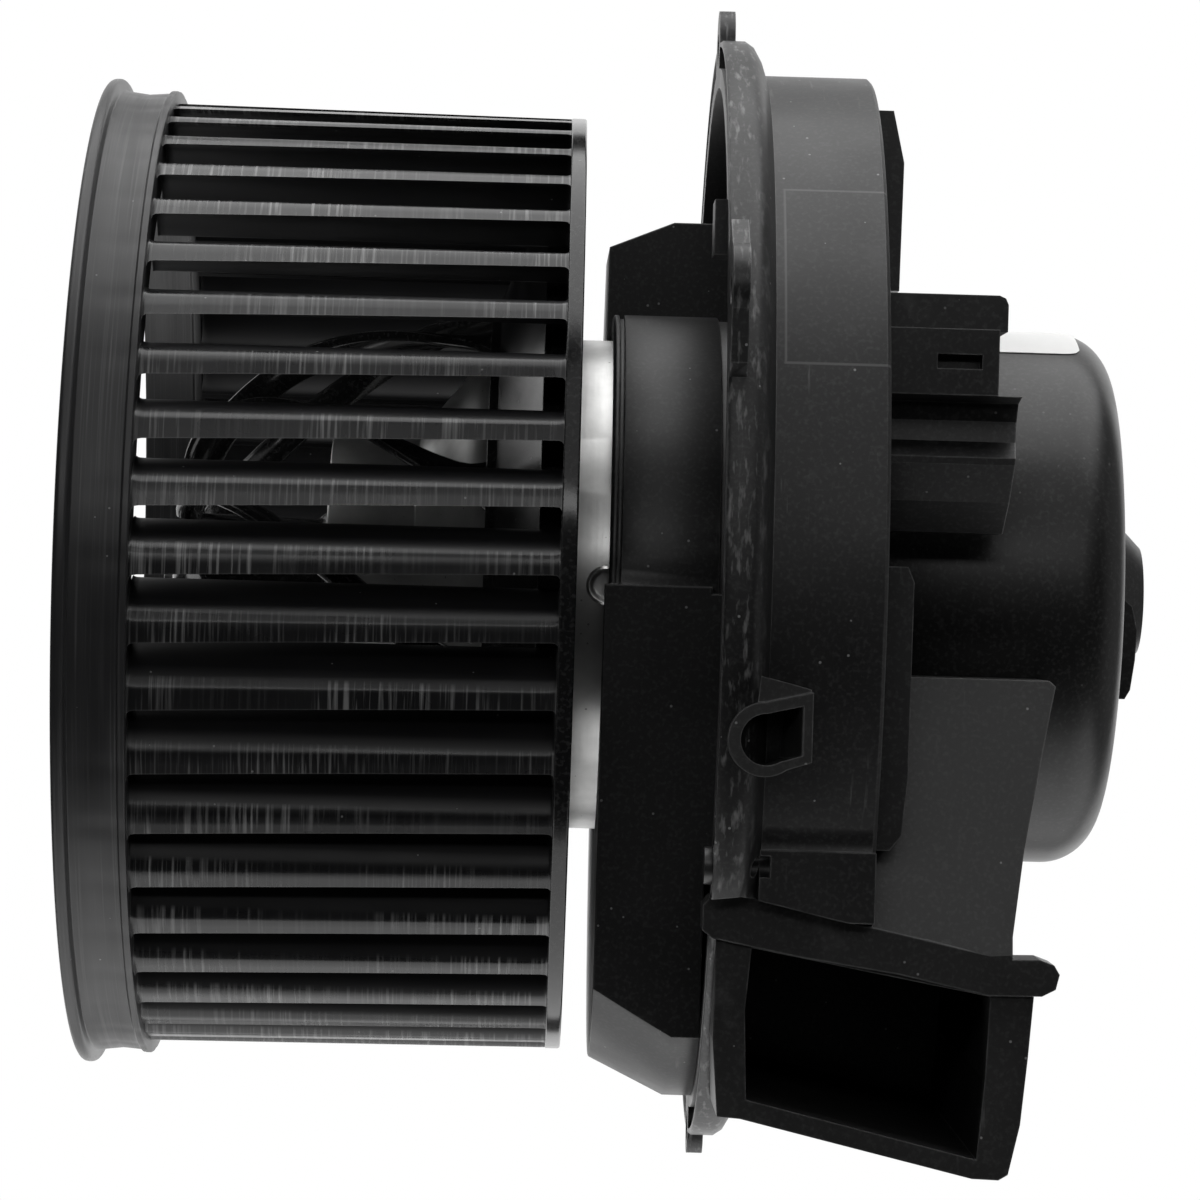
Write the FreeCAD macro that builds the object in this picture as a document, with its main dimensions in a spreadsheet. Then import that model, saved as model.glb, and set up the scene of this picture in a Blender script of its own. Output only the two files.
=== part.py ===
"""Vehicle heater blower: a squirrel-cage wheel on a motor held in a flange housing.

Units are millimetres. +X runs along the shaft from the wheel's inlet to the motor cap, +Z is up and
-Y is the side with the connector and the duct mouth. The origin is on the shaft axis, in the plane of
the flange's mating face.
"""
import FreeCAD, Part
import math
import os
import types

import Sketcher
from FreeCAD import Placement, Rotation, Vector

os.makedirs("parts", exist_ok=True)
doc = FreeCAD.newDocument("blower")
sheet = doc.addObject("Spreadsheet::Sheet", "Sizes")

# ---------------------------------------------------------------- driving sizes

DRIVING = {
    # wheel
    "rim_front_x": -92.0,
    "rim_lip_radius": 75.0,
    "rim_band_radius": 73.0,
    "rim_wall": 1.8,
    "blade_count": 47,
    "blade_front_x": -81.8,
    "blade_back_x": -22.2,
    "blade_root_radius": 62.0,
    "blade_tip_radius": 71.4,
    "blade_bend": 9.75,
    "blade_wall": 1.4,
    "blade_phase": 7.35,
    "back_ring_x": -19.9,
    "back_ring_radius": 71.0,
    "spoke_count": 9,
    "hub_front_x": -80.0,
    "hub_back_x": -58.0,
    "hub_radius": 9.2,
    "skirt_radius": 42.6,
    # motor
    "shaft_radius": 4.0,
    "running_gap": 0.03,
    "bush_radius": 8.0,
    "can_radius": 37.4,
    "can_wall": 1.6,
    "can_front_x": -31.8,
    "can_back_x": 55.0,
    "nose_radius": 22.0,
    "nose_front_x": -57.0,
    "core_radius": 28.6,
    "core_front_x": -18.0,
    "core_back_x": 22.0,
    "slot_count": 12,
    "bar_radius": 11.5,
    "bar_front_x": 33.0,
    "bar_back_x": 46.0,
    # housing
    "sleeve_bore": 38.6,
    "sleeve_radius": 41.4,
    "collar_front_x": -15.0,
    "lobe_front_x": -15.6,
    "lobe_radius": 77.5,
    "lobe_face_radius": 72.0,
    "lobe_side_y": -42.0,
    "lobe_top_z": 56.9,
    "lobe_step_y": 12.0,
    "shell_wall": 2.0,
    "rim_radius": 83.4,
    "drum_radius": 78.3,
    "drum_back_x": 22.6,
    "ear_wall": 2.4,
    "ear_radius": 6.0,
    "ear_reach": 82.5,
    "ear_hole": 2.5,
    "side_ear_angle": 28.0,
    "side_ear_reach": 87.4,
    "screw_reach": 80.4,
    "screw_radius": 1.5,
    "lead_angle": -27.6,
    "mouth_y": -66.0,
    "duct_far_y": 12.0,
    "ledge_far_y": -58.0,
    "cap_radius": 40.5,
    "cap_back_x": 60.6,
    "cap_round": 8.0,
}


class Size:
    """A length that carries its spreadsheet formula along with its value."""

    def __init__(self, value, formula):
        self.value = float(value)
        self.formula = formula

    def __add__(self, other):
        other = as_size(other)
        return Size(self.value + other.value, f"({self.formula} + {other.formula})")

    def __sub__(self, other):
        other = as_size(other)
        return Size(self.value - other.value, f"({self.formula} - {other.formula})")

    def __mul__(self, other):
        other = as_size(other)
        return Size(self.value * other.value, f"({self.formula} * {other.formula})")

    def __truediv__(self, other):
        other = as_size(other)
        return Size(self.value / other.value, f"({self.formula} / {other.formula})")

    def __neg__(self):
        return Size(-self.value, f"(0 - {self.formula})")

    def __radd__(self, other):
        return as_size(other) + self

    def __rsub__(self, other):
        return as_size(other) - self

    def __rmul__(self, other):
        return as_size(other) * self


def as_size(number):
    """A bare number becomes a size whose formula is that number."""
    if isinstance(number, Size):
        return number
    return Size(number, repr(float(number)))


def fill_sheet():
    """Write every driving size to the sheet and give back the sizes by name."""
    sizes = types.SimpleNamespace()
    for row, (name, value) in enumerate(DRIVING.items(), start=1):
        sheet.set(f"A{row}", name)
        sheet.set(f"B{row}", str(value))
        sheet.setAlias(f"B{row}", name)
        setattr(sizes, name, Size(value, f"Sizes.{name}"))
    return sizes


d = fill_sheet()
doc.recompute()

SLEEVE_STEP = 0.6
SCREW_ANGLES = (118.6, 238.0, 300.0)
SIDE_EAR_TURN = 90.0 - DRIVING["side_ear_angle"]

# back edge of the rim, from its outer corner to where it meets the drum
RIM_EDGE = [
    (3.6, d.rim_radius),
    (4.8, d.rim_radius - 0.8),
    (5.9, d.rim_radius - 2.7),
    (6.7, d.drum_radius),
]

# name, turn from the top, reach of the screw hole, half width, tip radius
EARS = (
    ("top_ear", 0.0, d.ear_reach, 6.0, 6.0),
    ("low_ear", 180.0, d.ear_reach, 5.0, 4.2),
    ("side_ear", SIDE_EAR_TURN, d.side_ear_reach, 11.5, 6.0),
)

# ---------------------------------------------------------------- building blocks

nodes = []


def bind(obj, prop, size):
    obj.setExpression(prop, as_size(size).formula)


def keep(obj, label):
    """Name a finished sub-part: its label is its node and its file."""
    obj.Label = label
    nodes.append(obj)
    return obj


def new_body(name):
    body = doc.addObject("PartDesign::Body", name)
    body.AllowCompound = True
    return body


def origin_plane(body, role):
    return next(item for item in body.Origin.OriginFeatures if item.Role == role)


def flat_sketch(body, role, offset):
    sketch = body.newObject("Sketcher::SketchObject", body.Name + "_outline")
    sketch.AttachmentSupport = [(origin_plane(body, role), "")]
    sketch.MapMode = "FlatFace"
    bind(sketch, "AttachmentOffset.Base.z", offset)
    return sketch


def fix(sketch, kind, corner, size):
    """Hold one coordinate of a line's start point at a size, measured from the sketch's origin."""
    size = as_size(size)
    index = sketch.addConstraint(Sketcher.Constraint(kind, -1, 1, corner, 1, size.value))
    sketch.setExpression(f"Constraints[{index}]", size.formula)


def outline(body, role, corners, offset=0.0):
    """A closed outline of straight lines, every corner tied to the sheet."""
    sketch = flat_sketch(body, role, offset)
    spots = [Vector(as_size(a).value, as_size(b).value, 0) for a, b in corners]
    count = len(corners)
    for i in range(count):
        sketch.addGeometry(Part.LineSegment(spots[i], spots[(i + 1) % count]), False)
    for i in range(count):
        sketch.addConstraint(Sketcher.Constraint("Coincident", i, 2, (i + 1) % count, 1))
    for i, (across, along) in enumerate(corners):
        fix(sketch, "DistanceX", i, across)
        fix(sketch, "DistanceY", i, along)
    return sketch


def turned(name, corners, angle=None):
    """A body turned about the shaft axis from an outline of (x, radius) corners."""
    body = new_body(name)
    sketch = outline(body, "XZ_Plane", corners)
    turn = body.newObject("PartDesign::Revolution", name + "_turn")
    turn.Profile = sketch
    turn.ReferenceAxis = (sketch, ["H_Axis"])
    turn.Angle = 360.0
    if angle is not None:
        turn.Midplane = True
        turn.Angle = angle
    return body


def ring(name, x_low, x_high, r_low, r_high):
    return turned(name, [(x_low, r_low), (x_low, r_high), (x_high, r_high), (x_high, r_low)])


def pad(body, role, corners, start, length, feature="Pad"):
    """Add or cut a prism from `start` along the plane's normal."""
    sketch = outline(body, role, corners, start)
    solid = body.newObject("PartDesign::" + feature, body.Name + "_prism")
    solid.Profile = sketch
    bind(solid, "Length", length)
    if feature == "Pocket":
        solid.Reversed = True
    return solid


def prism(name, role, corners, start, length):
    body = new_body(name)
    pad(body, role, corners, start, length)
    return body


def repeat(body, feature, sketch, count):
    """Repeat a feature evenly round the shaft axis."""
    pattern = body.newObject("PartDesign::PolarPattern", body.Name + "_pattern")
    pattern.Originals = [feature]
    pattern.Axis = (sketch, ["H_Axis"] if sketch.AttachmentSupport[0][0].Role == "XZ_Plane" else ["N_Axis"])
    pattern.Angle = 360.0
    bind(pattern, "Occurrences", count)
    body.Tip = pattern
    return pattern


def box(name, x, y, z):
    """A block between two corners; x, y and z are (low, high) pairs."""
    block = doc.addObject("Part::Box", name)
    for prop, axis, (low, high) in (("Length", "x", x), ("Width", "y", y), ("Height", "z", z)):
        bind(block, prop, as_size(high) - low)
        bind(block, "Placement.Base." + axis, low)
    return block


def rod(name, radius, x_low, x_high, y=0.0, z=0.0):
    """A cylinder along X."""
    bar = doc.addObject("Part::Cylinder", name)
    bar.Placement = Placement(Vector(0, 0, 0), Rotation(Vector(0, 1, 0), 90))
    bind(bar, "Radius", radius)
    bind(bar, "Height", as_size(x_high) - x_low)
    bind(bar, "Placement.Base.x", x_low)
    bind(bar, "Placement.Base.y", y)
    bind(bar, "Placement.Base.z", z)
    return bar


def fused(name, shapes):
    joined = doc.addObject("Part::MultiFuse", name)
    joined.Shapes = shapes
    joined.Refine = True
    return joined


def cut(name, base, tool):
    rest = doc.addObject("Part::Cut", name)
    rest.Base = base
    rest.Tool = tool
    rest.Refine = True
    return rest


def common(name, first, second):
    shared = doc.addObject("Part::MultiCommon", name)
    shared.Shapes = [first, second]
    return shared


def gathered(name, shapes):
    """Separate solids that share one node."""
    group = doc.addObject("Part::Compound", name)
    group.Links = shapes
    return group


def turn_about_shaft(obj, degrees):
    obj.Placement = Placement(Vector(0, 0, 0), Rotation(Vector(1, 0, 0), degrees))
    return obj


# ---------------------------------------------------------------- wheel


def make_rim():
    """Inlet ring: an annulus that carries the blade ends, a band, and a lip at the mouth."""
    band_back = d.blade_front_x
    band_inner = d.rim_band_radius - d.rim_wall
    rim = turned("impeller_rim", [
        (d.rim_front_x, band_inner),
        (d.rim_front_x, d.rim_lip_radius),
        (d.rim_front_x + d.rim_wall, d.rim_lip_radius),
        (d.rim_front_x + d.rim_wall, d.rim_band_radius),
        (band_back - 1.0, d.rim_band_radius),
        (band_back - 1.0, d.rim_band_radius + 0.4),
        (band_back, d.rim_band_radius + 0.4),
        (band_back, d.blade_root_radius + 3.0),
        (band_back - 1.6, d.blade_root_radius + 3.0),
        (band_back - 1.6, band_inner),
    ])
    keep(rim, "impeller_rim")


def make_blades():
    """Forward-curved blades: one curved strip, repeated round the axis."""
    body = new_body("impeller_blades")
    sketch = flat_sketch(body, "YZ_Plane", d.blade_front_x)
    bend, root, tip = d.blade_bend.value, d.blade_root_radius.value, d.blade_tip_radius.value
    centre = Vector(-bend, root, 0)
    half_wall = d.blade_wall.value / 2
    ends = []
    for radius in (bend - half_wall, bend + half_wall):
        top = blade_tip_angle(bend, radius, root, tip)
        arc = Part.ArcOfCircle(Part.Circle(centre, Vector(0, 0, 1), radius), 0.0, top)
        sketch.addGeometry(arc, False)
        spot = centre + Vector(radius * math.cos(top), radius * math.sin(top), 0)
        ends.append((centre + Vector(radius, 0, 0), spot))
    sketch.addGeometry(Part.LineSegment(ends[0][0], ends[1][0]), False)
    sketch.addGeometry(Part.LineSegment(ends[0][1], ends[1][1]), False)
    for line, corner in ((2, 1), (3, 2)):
        sketch.addConstraint(Sketcher.Constraint("Coincident", line, 1, 0, corner))
        sketch.addConstraint(Sketcher.Constraint("Coincident", line, 2, 1, corner))
    for arc, radius in ((0, d.blade_bend - d.blade_wall / 2), (1, d.blade_bend + d.blade_wall / 2)):
        hold(sketch, Sketcher.Constraint("DistanceX", -1, 1, arc, 3, centre.x), -d.blade_bend)
        hold(sketch, Sketcher.Constraint("DistanceY", -1, 1, arc, 3, root), d.blade_root_radius)
        hold(sketch, Sketcher.Constraint("DistanceY", -1, 1, arc, 1, root), d.blade_root_radius)
        hold(sketch, Sketcher.Constraint("Radius", arc, radius.value), radius)
        hold(sketch, Sketcher.Constraint("Distance", arc, 2, -1, 1, tip), d.blade_tip_radius)
    strip = body.newObject("PartDesign::Pad", "blade_strip")
    strip.Profile = sketch
    bind(strip, "Length", d.blade_back_x - d.blade_front_x)
    repeat(body, strip, sketch, d.blade_count)
    turn_about_shaft(body, DRIVING["blade_phase"])
    keep(body, "impeller_blades")


def blade_tip_angle(bend, radius, root, tip):
    """Angle on a blade's arc at which it reaches the tip circle."""
    reach = math.hypot(bend, root)
    lean = math.atan2(-root, bend)
    turn = math.acos((radius ** 2 + reach ** 2 - tip ** 2) / (2 * radius * reach))
    return lean + turn


def hold(sketch, constraint, size):
    """Add a constraint whose value comes from the sheet."""
    index = sketch.addConstraint(constraint)
    sketch.setExpression(f"Constraints[{index}]", as_size(size).formula)


def make_hub():
    """Back ring, cone web and a dome of spokes that reaches forward to the shaft boss."""
    body = turned("impeller_hub", [
        (d.hub_front_x, d.shaft_radius),
        (d.hub_front_x, d.hub_radius + 1.0),
        (d.hub_front_x + 3.0, d.hub_radius + 13.5),
        (-56.0, d.skirt_radius - 6.6),
        (-40.0, d.skirt_radius - 1.6),
        (-32.5, d.skirt_radius),
        (d.blade_back_x - 3.1, d.blade_root_radius - 3.6),
        (d.blade_back_x - 3.1, d.blade_root_radius - 2.0),
        (d.blade_back_x, d.blade_root_radius - 2.0),
        (d.blade_back_x, d.back_ring_radius),
        (d.back_ring_x, d.back_ring_radius),
        (d.back_ring_x, d.blade_root_radius - 1.4),
        (-29.8, d.skirt_radius - 2.3),
        (-40.0, d.skirt_radius - 3.9),
        (-55.0, d.skirt_radius - 8.6),
        (d.hub_front_x + 4.2, d.hub_radius + 11.6),
        (d.hub_front_x + 2.2, d.hub_radius),
        (d.hub_back_x, d.hub_radius),
        (d.hub_back_x, d.shaft_radius),
    ])
    inner = d.hub_radius + 3.5
    outer = d.skirt_radius - 2.6
    window = pad(body, "YZ_Plane", [
        (-1.6, inner),
        (1.6, inner),
        (outer * 0.28, outer * 0.93),
        (0.0, outer),
        (outer * -0.28, outer * 0.93),
    ], d.hub_front_x - 5.0, 40.0, "Pocket")
    repeat(body, window, window.Profile[0], d.spoke_count)
    keep(body, "impeller_hub")


def make_shaft_pieces():
    shaft_front = d.hub_front_x - 2.0
    keep(rod("shaft", d.shaft_radius, shaft_front, 58.0), "motor_shaft")
    keep(ring("clip", shaft_front, d.hub_front_x, d.shaft_radius, 8.0), "hub_clip")
    washers = [
        ring("front_washer", -45.9, -44.9, d.shaft_radius, 7.0),
        ring("rear_washer", 48.9, 49.9, d.shaft_radius, 7.0),
    ]
    keep(gathered("washers", washers), "thrust_washers")


# ---------------------------------------------------------------- armature


def make_armature():
    core = ring("armature_core", d.core_front_x, d.core_back_x, d.shaft_radius, d.core_radius)
    slot = pad(core, "YZ_Plane", [(-1.7, 16.0), (1.7, 16.0), (1.7, 30.0), (-1.7, 30.0)],
               d.core_front_x - 1.0, 42.0, "Pocket")
    repeat(core, slot, slot.Profile[0], d.slot_count)
    keep(core, "armature_core")

    coils = turned("armature_windings", [
        (-26.0, 12.0), (-26.0, 22.0), (-23.0, 25.5), (d.core_front_x, 27.0), (d.core_front_x, 9.0),
    ])
    bar = pad(coils, "YZ_Plane", [(-1.5, 16.3), (1.5, 16.3), (1.5, 26.5), (-1.5, 26.5)],
              d.core_front_x - 0.5, d.core_back_x - d.core_front_x + 1.0)
    repeat(coils, bar, bar.Profile[0], d.slot_count)
    rear = coils.newObject("PartDesign::Revolution", "rear_turns")
    rear.Profile = outline(coils, "XZ_Plane", [
        (d.core_back_x, 9.0), (d.core_back_x, 27.0), (27.0, 25.5), (30.0, 22.0), (30.0, 12.0),
    ])
    rear.ReferenceAxis = (rear.Profile[0], ["H_Axis"])
    rear.Angle = 360.0
    coils.Tip = rear
    keep(coils, "armature_windings")

    bars = ring("commutator", d.bar_front_x, d.bar_back_x, 7.0, d.bar_radius)
    gap = pad(bars, "YZ_Plane", [(-0.3, 9.0), (0.3, 9.0), (0.3, 12.5), (-0.3, 12.5)],
              d.bar_front_x - 1.0, 16.0, "Pocket")
    repeat(bars, gap, gap.Profile[0], d.slot_count)
    keep(bars, "commutator")
    keep(ring("core_sleeve", d.bar_front_x, d.bar_back_x, d.shaft_radius, 7.0), "commutator_core")


# ---------------------------------------------------------------- motor case


def lead_span():
    """How far along X the hole for the power leads runs, just in front of the housing's back wall."""
    return d.drum_back_x - 7.3, d.drum_back_x - 0.3


def make_can():
    """Deep-drawn steel can: a wide barrel, a shoulder and a narrow bearing nose."""
    wall = d.can_wall
    front = d.can_front_x
    nose = d.nose_front_x
    body = turned("can_shell", [
        (d.can_back_x, d.can_radius),
        (front, d.can_radius),
        (front - 2.6, d.can_radius - 2.4),
        (front - 5.0, d.can_radius - 5.9),
        (front - 5.6, d.can_radius - 6.9),
        (front - 11.0, d.nose_radius + 2.0),
        (front - 12.0, d.nose_radius),
        (nose, d.nose_radius),
        (nose, 5.5),
        (nose + wall, 5.5),
        (nose + wall, d.nose_radius - wall),
        (front - 10.6, d.nose_radius - wall),
        (front - 9.6, d.nose_radius + 0.9),
        (front - 4.3, d.can_radius - 8.0),
        (front - 3.6, d.can_radius - 6.8),
        (front - 1.2, d.can_radius - 3.4),
        (front + 0.6, d.can_radius - wall),
        (d.can_back_x, d.can_radius - wall),
    ])
    hole = gathered("lead_hole", [box("lead_hole_box", lead_span(), (-40.0, -34.0), (-6.0, 6.0))])
    keep(cut("can", body, turn_about_shaft(hole, DRIVING["lead_angle"])), "motor_can")
    keep(ring("plate", d.can_back_x, d.can_back_x + 1.6, d.bush_radius, d.can_radius - 0.8), "can_end_plate")


def make_bearings():
    bore = d.shaft_radius + d.running_gap
    keep(ring("front_bush", -54.0, -46.0, bore, d.bush_radius), "front_bearing")
    keep(ring("rear_bush", 50.0, 58.0, bore, d.bush_radius), "rear_bearing")
    retainers = [
        ring("front_star", -52.0, -51.2, d.bush_radius, d.nose_radius - d.can_wall),
        ring("rear_star", d.can_back_x - 0.8, d.can_back_x, d.bush_radius, 19.0),
    ]
    keep(gathered("stars", retainers), "bearing_retainers")


def make_magnets():
    """Two ferrite arcs against the can wall, leaving a small gap to the armature."""
    body = turned("field_magnets", [
        (-22.0, d.core_radius + 0.9),
        (-22.0, d.can_radius - d.can_wall),
        (26.0, d.can_radius - d.can_wall),
        (26.0, d.core_radius + 0.9),
    ], 136.0)
    arc = body.Tip
    pattern = body.newObject("PartDesign::PolarPattern", "second_arc")
    pattern.Originals = [arc]
    pattern.Axis = (arc.Profile[0], ["H_Axis"])
    pattern.Angle = 360.0
    pattern.Occurrences = 2
    body.Tip = pattern
    keep(body, "field_magnets")


def make_brush_gear():
    card = ring("brush_card", 43.2, 45.2, 14.0, d.can_radius - d.can_wall)
    keep(card, "brush_card")
    holders, brushes, springs, chokes = [], [], [], []
    for side in (1, -1):
        low, high = sorted((side * 13.5, side * 27.6))
        shell = box("holder", (35.4, 43.2), (-3.2, 3.2), (low, high))
        low, high = sorted((side * 12.5, side * 27.0))
        room = box("holder_room", (36.0, 42.6), (-2.6, 2.6), (low, high))
        holders.append(cut("holder_box", shell, room))
        low, high = sorted((side * 11.85, side * 20.8))
        brushes.append(box("brush", (36.1, 42.5), (-2.5, 2.5), (low, high)))
        springs.append(make_spring(39.3, side))
        choke = doc.addObject("Part::Cylinder", "choke")
        choke.Placement = Placement(Vector(49.6, -8.0, side * 26.0), Rotation(Vector(1, 0, 0), -90))
        bind(choke, "Radius", 3.4)
        bind(choke, "Height", 16.0)
        chokes.append(choke)
    keep(gathered("holders", holders), "brush_holders")
    keep(gathered("brushes", brushes), "carbon_brushes")
    keep(gathered("springs", springs), "brush_springs")
    keep(gathered("chokes", chokes), "suppression_chokes")


def make_spring(x, side):
    """Coil spring behind a brush, pressing it on to the commutator."""
    coil_radius, wire_radius, length = 1.9, 0.3, 5.4
    helix = Part.makeHelix(1.35, length, coil_radius)
    section = Part.Wire(Part.makeCircle(wire_radius, Vector(coil_radius, 0, 0), Vector(0, 1, 0)))
    coil = doc.addObject("Part::Feature", "spring")
    coil.Shape = Part.Wire(helix.Edges).makePipeShell([section], True, True)
    tilt = 0 if side > 0 else 180
    coil.Placement = Placement(Vector(x, 0, side * 21.2), Rotation(Vector(1, 0, 0), tilt))
    return coil


# ---------------------------------------------------------------- duct


def duct_envelope(name, near_y):
    """Outside of the duct from `near_y` back to its closed far end, with the ledge over its mouth."""
    channel = prism(name + "_channel", "XZ_Plane", [
        (0.9, -44.4), (0.9, -63.0), (1.8, -73.7), (5.0, -73.9), (37.5, -81.3), (41.2, -81.4),
        (42.5, -80.6), (44.0, -73.6), (44.8, -64.5), (45.4, -55.8), (42.4, -50.4),
    ], -d.duct_far_y, d.duct_far_y - near_y)
    ledge = prism(name + "_ledge", "XZ_Plane", [
        (-1.0, -44.3), (-0.1, -43.2), (4.1, -42.7), (9.7, -43.9), (16.7, -45.5), (30.0, -48.2),
        (41.5, -50.6), (46.0, -50.5), (48.0, -51.2), (48.8, -52.5), (48.3, -54.6), (46.4, -55.6),
        (39.2, -55.7), (26.6, -53.1), (12.7, -51.1), (0.4, -48.8), (-1.0, -47.7),
    ], -d.ledge_far_y, d.ledge_far_y - near_y + 1.0)
    return fused(name, [channel, ledge])


def chamber_envelope(name):
    """Outside of the chamber behind the drum, its near face leaning out towards the ledge below."""
    profile = prism(name + "_profile", "XZ_Plane", [
        (d.drum_back_x, -11.9), (47.4, -11.9), (48.3, -12.7), (47.3, -17.5), (45.1, -28.8),
        (43.8, -35.7), (42.2, -47.5), (42.2, -52.0), (d.drum_back_x, -52.0),
    ], 2.0, 68.0)
    lean = prism(name + "_lean", "YZ_Plane", [
        (-2.0, -10.0), (-55.4, -10.0), (-67.0, -50.0), (-67.0, -53.0), (-2.0, -53.0),
    ], d.drum_back_x, 30.0)
    return common(name, profile, lean)


def make_duct():
    passage = prism("passage", "XZ_Plane", [
        (6.0, -50.1), (5.3, -58.7), (5.8, -71.2), (38.0, -78.6), (38.9, -67.5), (39.3, -55.9),
    ], 2.5 - d.duct_far_y, d.duct_far_y - d.mouth_y)
    room = prism("chamber_room", "XZ_Plane", [
        (d.drum_back_x, -13.9), (d.drum_back_x, -60.0), (38.6, -60.0), (40.2, -47.5), (41.8, -35.7),
        (43.1, -28.8), (45.6, -16.4), (45.6, -13.9),
    ], 6.0, 46.0)
    cap_seat = rod("cap_seat", d.cap_radius, d.drum_back_x, 60.0)
    inner_wall = rod("inner_wall", d.cap_radius + d.shell_wall, d.drum_back_x - 1.0, 60.0)
    blocks = fused("duct_blocks", [duct_envelope("duct_outside", d.mouth_y), chamber_envelope("chamber")])
    bored = cut("duct_bored", cut("duct_solid", blocks, cap_seat), passage)
    keep(cut("duct", bored, cut("duct_room", room, inner_wall)), "cooling_duct")


# ---------------------------------------------------------------- flange housing


def make_ear(name, degrees, reach, half_width, tip_radius):
    """A flat ear on the rim with one screw hole, drawn at the top and turned into place."""
    tip = rod(name + "_tip", tip_radius, 0.0, d.ear_wall, 0.0, reach)
    foot = prism(name + "_foot", "YZ_Plane", [
        (-half_width, d.drum_radius - 1.0),
        (half_width, d.drum_radius - 1.0),
        (half_width, reach - 1.0),
        (tip_radius * 0.85, reach + tip_radius * 0.5),
        (tip_radius * -0.85, reach + tip_radius * 0.5),
        (-half_width, reach - 1.0),
    ], 0.0, d.ear_wall)
    hole = rod(name + "_hole", d.ear_hole, -1.0, 9.0, 0.0, reach)
    ear = fused(name, [tip, foot])
    return turn_about_shaft(ear, degrees), turn_about_shaft(gathered(name + "_bore", [hole]), degrees)


def make_drum():
    """Grooved rim, drum, back wall and the sleeve round the motor."""
    inner = d.drum_radius - d.shell_wall
    sleeve = d.sleeve_radius - SLEEVE_STEP
    return turned("drum", [
        (0.0, inner),
        (0.0, d.drum_radius + 0.9),
        (3.2, d.drum_radius + 0.9),
        (3.2, d.rim_radius - 0.9),
        (0.0, d.rim_radius - 0.9),
        (0.0, d.rim_radius - 0.3),
        (0.4, d.rim_radius),
    ] + RIM_EDGE + [
        (d.drum_back_x - 0.5, d.drum_radius),
        (d.drum_back_x, d.drum_radius - 0.5),
        (d.drum_back_x, d.sleeve_bore),
        (1.0, d.sleeve_bore),
        (1.0, sleeve),
        (d.drum_back_x - d.shell_wall, sleeve),
        (d.drum_back_x - d.shell_wall, inner),
    ])


def make_back_pads():
    """The two raised pads on the back wall, the shoulder over the duct and the rib in the cup."""
    seat = d.drum_back_x - 0.5
    return [
        prism("upper_pad", "XZ_Plane", [
            (seat, 46.0), (28.4, 46.0), (28.6, 65.5), (26.8, 73.4), (seat, 73.4),
        ], -14.0, 20.0),
        prism("near_pad", "XZ_Plane", [
            (seat, -35.9), (24.5, -35.9), (26.1, -33.8), (26.8, -26.0), (26.9, 1.4), (26.0, 3.5), (seat, 3.5),
        ], 58.0, 10.5),
        box("shoulder", (6.5, d.drum_back_x), (-70.5, -60.0), (-46.0, -36.2)),
        box("cup_rib", (-1.7, 4.0), (-54.5, -46.0), (47.0, 54.9)),
    ]


def make_flange_housing():
    """Rim, drum, back wall and motor sleeve, with three ears, screw lugs and the pads."""
    solids = [make_drum()] + make_back_pads()
    holes = []
    for name, degrees, reach, half_width, tip_radius in EARS:
        ear, hole = make_ear(name, degrees, reach, half_width, tip_radius)
        solids.append(ear)
        holes.append(hole)
    for number, degrees in enumerate(SCREW_ANGLES):
        lug = rod(f"lug_{number}", 2.7, 0.0, 3.5, 0.0, d.screw_reach)
        bore = rod(f"lug_bore_{number}", d.screw_radius, -1.0, 8.0, 0.0, d.screw_reach)
        solids.append(turn_about_shaft(gathered(f"lug_turned_{number}", [lug]), degrees))
        holes.append(turn_about_shaft(gathered(f"bore_turned_{number}", [bore]), degrees))
    port_span = (d.drum_back_x - 2.8, d.drum_back_x + 0.7)
    terminal_port = box("terminal_port", port_span, (-57.0, -50.0), (20.0, 37.0))
    lead_box = box("lead_port_box", lead_span(), (-44.0, -34.0), (-6.0, 6.0))
    lead_port = turn_about_shaft(gathered("lead_port", [lead_box]), DRIVING["lead_angle"])
    spaces = [duct_envelope("duct_space", -95.0), chamber_envelope("chamber_space")]
    tools = fused("housing_cuts", holes + [terminal_port, lead_port] + spaces)
    keep(cut("housing", fused("housing_solids", solids), tools), "flange_housing")


def lobe(name, inset):
    """The wheel-side lobe: a disc with a bevelled edge, cut flat beside and above the collar."""
    front = d.lobe_front_x + inset
    disc = turned(name + "_disc", [
        (front, 0.0),
        (front, d.lobe_face_radius - inset * 0.7),
        (-4.2, d.lobe_radius - inset),
        (0.0, d.lobe_radius - inset),
        (0.0, 0.0),
    ])
    side, step, top = d.lobe_side_y + inset, d.lobe_step_y + inset, d.lobe_top_z - inset
    region = prism(name + "_region", "YZ_Plane", [
        (side, 0.0), (side, -90.0), (90.0, -90.0), (90.0, top), (step, top), (step, 0.0),
    ], front, 0.0 - front)
    shape = common(name, disc, region)
    bevel = prism(name + "_bevel", "XZ_Plane", [
        (front - 1.0, d.lobe_top_z - 4.5 - inset), (-5.6, top), (-5.6, 95.0), (front - 1.0, 95.0),
    ], -95.0, 100.0)
    return cut(name + "_cut", shape, bevel)


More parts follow.
